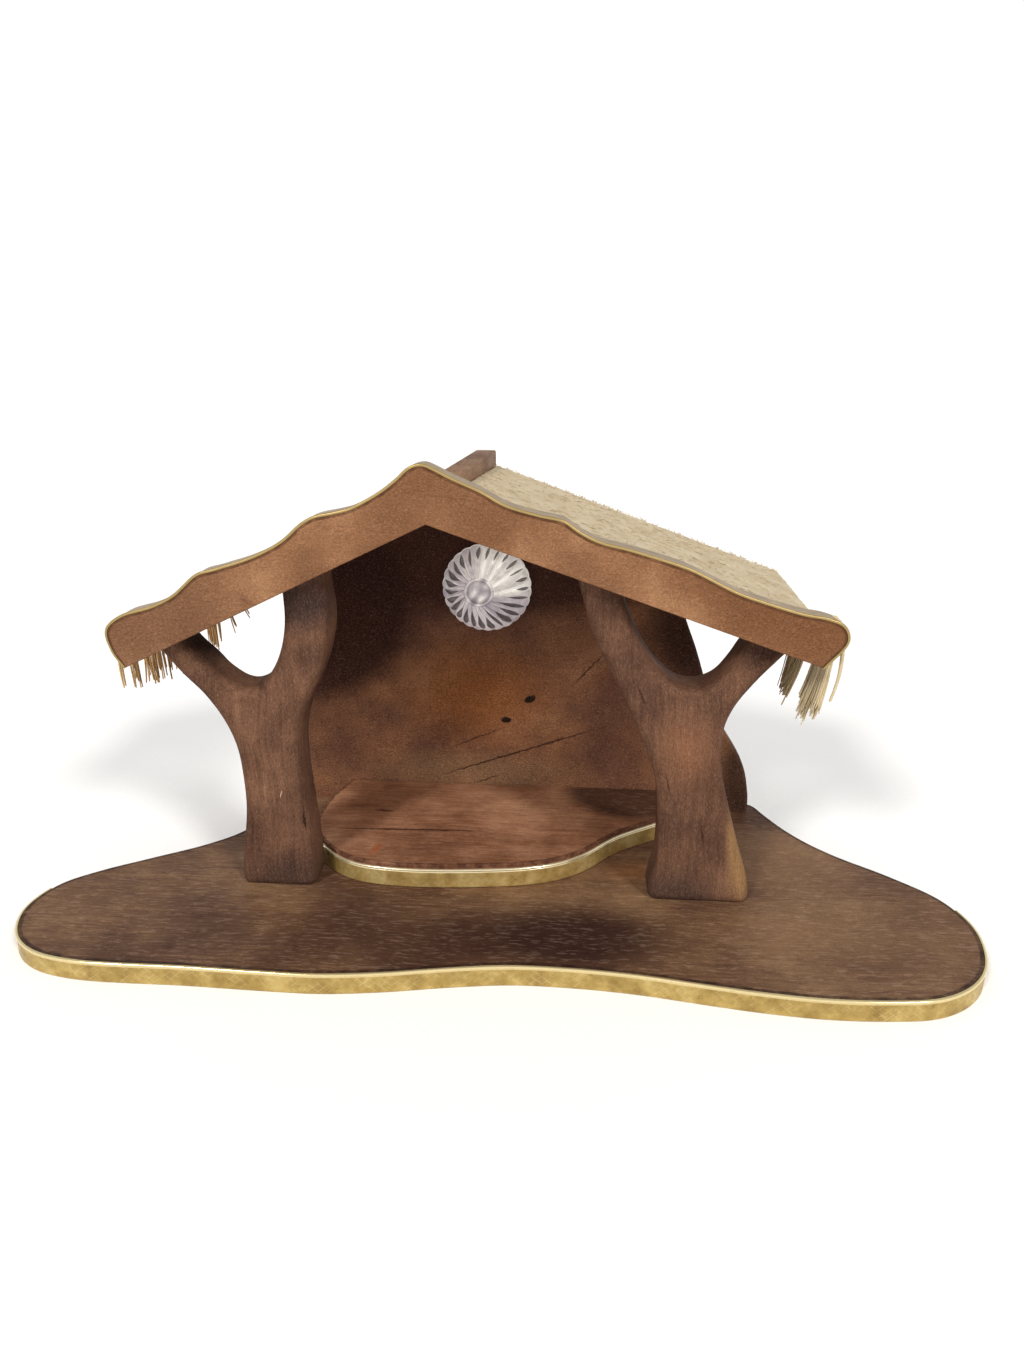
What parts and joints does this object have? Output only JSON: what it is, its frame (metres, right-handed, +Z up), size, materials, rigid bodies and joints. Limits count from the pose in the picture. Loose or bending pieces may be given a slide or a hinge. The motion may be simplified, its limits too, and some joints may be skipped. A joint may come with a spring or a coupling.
{
  "type": "nativity stable",
  "caption": "Open-fronted wooden stable on a free-form base, with a gable roof on forked posts, a raised platform, thatch with eave fringes, gold edging and a clear fluted rosette.",
  "frame": {"origin": "middle of the footprint, on the surface that the base board rests on", "axes": "+X to the right as seen from the open front, +Y to the back, +Z up"},
  "size_m": [0.5558, 0.2362, 0.2721],
  "materials": {
    "brown_board": "brown stained veneer, satin varnish",
    "dark_post": "dark stained solid wood, satin varnish",
    "light_board": "lighter orange-brown stain, satin varnish",
    "red_board": "reddish brown stain, satin varnish",
    "plain_board": "plain thin board, unvarnished",
    "gold_edging": "metallised gold edging, finely embossed",
    "thatch_mat": "coarse tan woven mat",
    "fringe_strand": "loose straw-coloured fibre",
    "clear_glass": "clear moulded, polished",
    "zinc_steel": "bright zinc plate",
    "birch_dowel": "plain birch"
  },
  "bodies": {
    "root": {"base_board": "brown_board", "base_edge_trim": "gold_edging", "platform_board": "red_board", "platform_edge_trim": "gold_edging", "left_post": "dark_post", "right_post": "dark_post", "back_wall": "brown_board", "fascia_board": "light_board", "fascia_edge_trim": "gold_edging", "ridge_pole": "dark_post", "left_roof_board": "plain_board", "right_roof_board": "plain_board", "left_thatch": "thatch_mat", "right_thatch": "thatch_mat", "left_eave_fringe": "fringe_strand", "right_eave_fringe": "fringe_strand", "star_rosette": "clear_glass", "star_screw": "zinc_steel", "star_washer": "zinc_steel", "post_screw_1": "zinc_steel", "post_screw_2": "zinc_steel", "post_screw_3": "zinc_steel", "post_screw_4": "zinc_steel", "wall_screw_1": "zinc_steel", "wall_screw_2": "zinc_steel", "wall_screw_3": "zinc_steel", "platform_screw_1": "zinc_steel", "platform_screw_2": "zinc_steel", "platform_screw_3": "zinc_steel", "roof_nail_1": "zinc_steel", "roof_nail_2": "zinc_steel", "roof_nail_3": "zinc_steel", "roof_nail_4": "zinc_steel", "roof_nail_5": "zinc_steel", "roof_nail_6": "zinc_steel", "roof_nail_7": "zinc_steel", "roof_nail_8": "zinc_steel", "fascia_dowel_1": "birch_dowel", "fascia_dowel_2": "birch_dowel", "fascia_dowel_3": "birch_dowel", "fascia_dowel_4": "birch_dowel", "fascia_dowel_5": "birch_dowel"}
  },
  "joints": []
}
